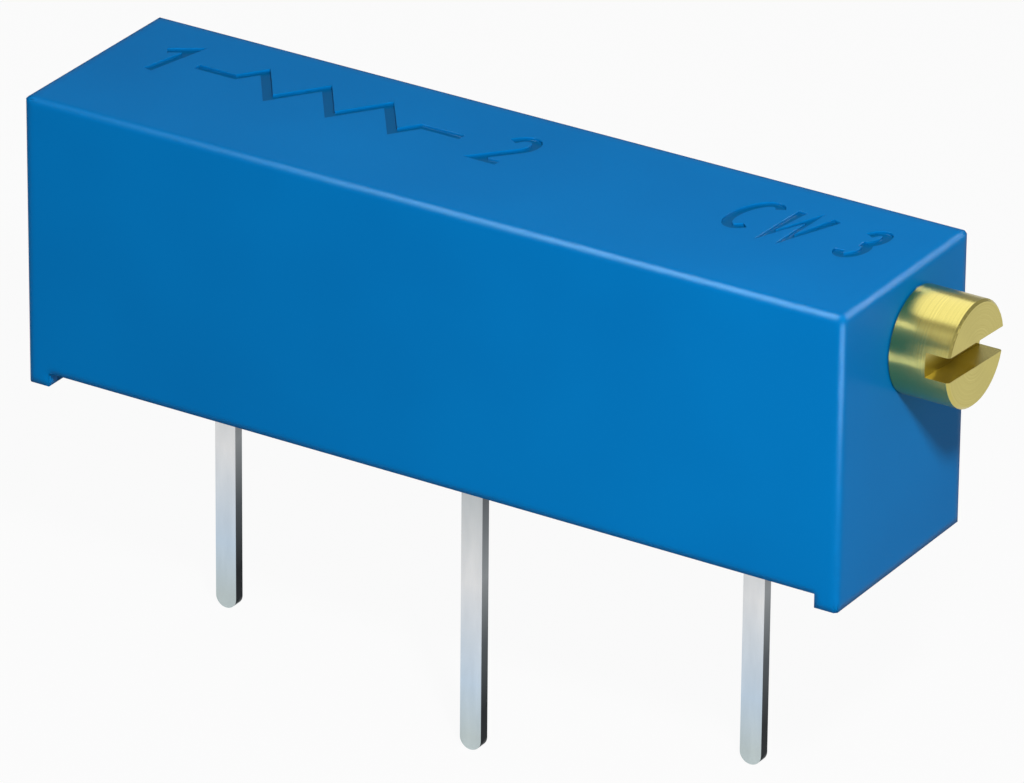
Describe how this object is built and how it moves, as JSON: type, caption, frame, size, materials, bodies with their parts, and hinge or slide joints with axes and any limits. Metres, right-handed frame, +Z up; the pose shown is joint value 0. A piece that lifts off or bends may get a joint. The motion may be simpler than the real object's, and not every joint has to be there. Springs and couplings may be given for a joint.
{
  "type": "trimmer potentiometer",
  "caption": "Rectangular multiturn trimmer potentiometer: long moulded housing on standoffs, slotted side adjustment screw driving a sliding wiper, flat board pins.",
  "frame": {"origin": "centre of the housing's footprint on the plane of the standoffs' feet, which is the board's top face", "axes": "+X along the housing towards the screw's head, +Z up away from the board, -Y towards the single middle pin's row"},
  "size_m": [0.0204, 0.0048, 0.0123],
  "materials": {
    "blue_housing": "moulded thermoplastic, smooth satin",
    "brass": "turned, bright",
    "ring_rubber": "silicone, matte",
    "clip_steel": "stamped",
    "carriage_plastic": "natural nylon",
    "spring_alloy": "rolled spring sheet",
    "brush_alloy": "precious-metal comb",
    "alumina": "fired, matte",
    "resistor_ink": "fired cermet film",
    "conductor_ink": "fired silver film",
    "tinned_pin": "bright tin plate",
    "solder": "bright solder",
    "seal_resin": "cast epoxy"
  },
  "bodies": {
    "case": {"housing": "blue_housing", "retaining_clip": "clip_steel", "substrate": "alumina", "resistor_film": "resistor_ink", "collector_film": "conductor_ink", "end_pad_1": "conductor_ink", "end_pad_3": "conductor_ink", "terminal_1": "tinned_pin", "terminal_2": "tinned_pin", "terminal_3": "tinned_pin", "solder_1": "solder", "solder_2": "solder", "solder_3": "solder", "base_seal": "seal_resin"},
    "screw": {"lead_screw": "brass", "o_ring": "ring_rubber"},
    "slider": {"carriage": "carriage_plastic", "wiper_spring": "spring_alloy", "resistor_brush": "brush_alloy", "collector_brush": "brush_alloy"}
  },
  "joints": [
    {"name": "screw_turn", "type": "hinge", "parent": "case", "child": "screw", "pos_m": [0, 0.00043, 0.0048], "axis": [-1, 0, 0], "range_deg": [-2700, 2700]},
    {"name": "wiper_slide", "type": "slide", "parent": "case", "child": "slider", "axis": [1, 0, 0], "range_m": [-0.00525, 0.00525]}
  ],
  "couplings": [
    {"joint": "screw_turn", "follows": "wiper_slide", "rad_per_m": 8976}
  ]
}
